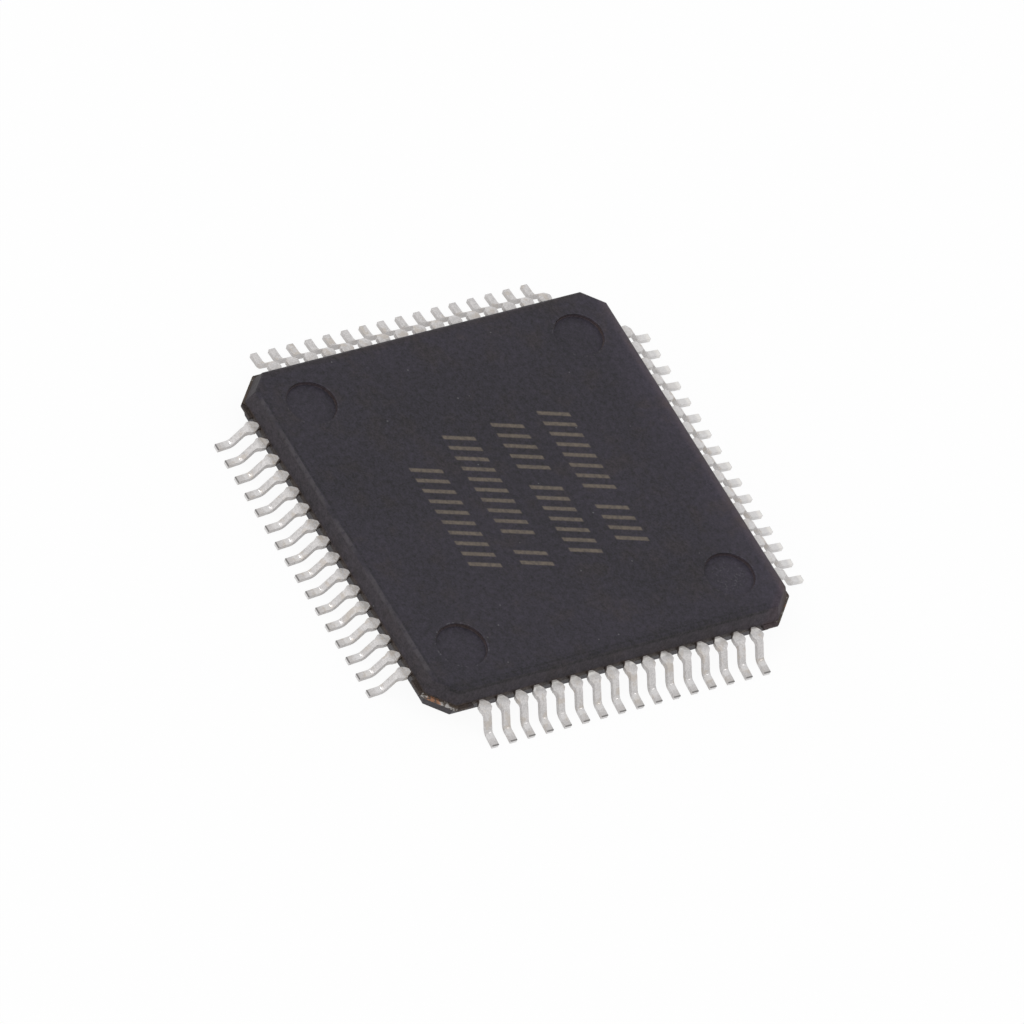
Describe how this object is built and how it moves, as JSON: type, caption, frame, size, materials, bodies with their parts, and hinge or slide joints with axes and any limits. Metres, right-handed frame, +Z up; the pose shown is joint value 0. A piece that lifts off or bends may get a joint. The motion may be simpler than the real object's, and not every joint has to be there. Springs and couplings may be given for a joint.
{
  "type": "stepper motor driver chip",
  "caption": "Thin square surface-mount chip: dark moulded body with rows of gull-wing leads on four sides and a heat-sink pad underneath, for driving stepper motors.",
  "frame": {"origin": "centre of the seating plane, on which the toes of the leads stand", "axes": "+Z up out of the chip's top, +X along the row of leads 1 to 16 in counting order, +Y towards the row of leads 33 to 48"},
  "size_m": [0.012, 0.012, 0.001],
  "materials": {
    "mould_compound": "fine matte mould grain",
    "tin_plate": "matte tin plating",
    "pad_copper": "matte tin plating over copper, bare copper at the cut ends",
    "die_adhesive": "matte silver-filled adhesive",
    "silicon": "polished",
    "gold_wire": "bright"
  },
  "bodies": {
    "root": {"body": "mould_compound", "leads_1_to_16": "tin_plate", "leads_17_to_32": "tin_plate", "leads_33_to_48": "tin_plate", "leads_49_to_64": "tin_plate", "die_pad": "pad_copper", "die_attach": "die_adhesive", "die": "silicon", "bond_wires_1_to_16": "gold_wire", "bond_wires_17_to_32": "gold_wire", "bond_wires_33_to_48": "gold_wire", "bond_wires_49_to_64": "gold_wire"}
  },
  "joints": []
}
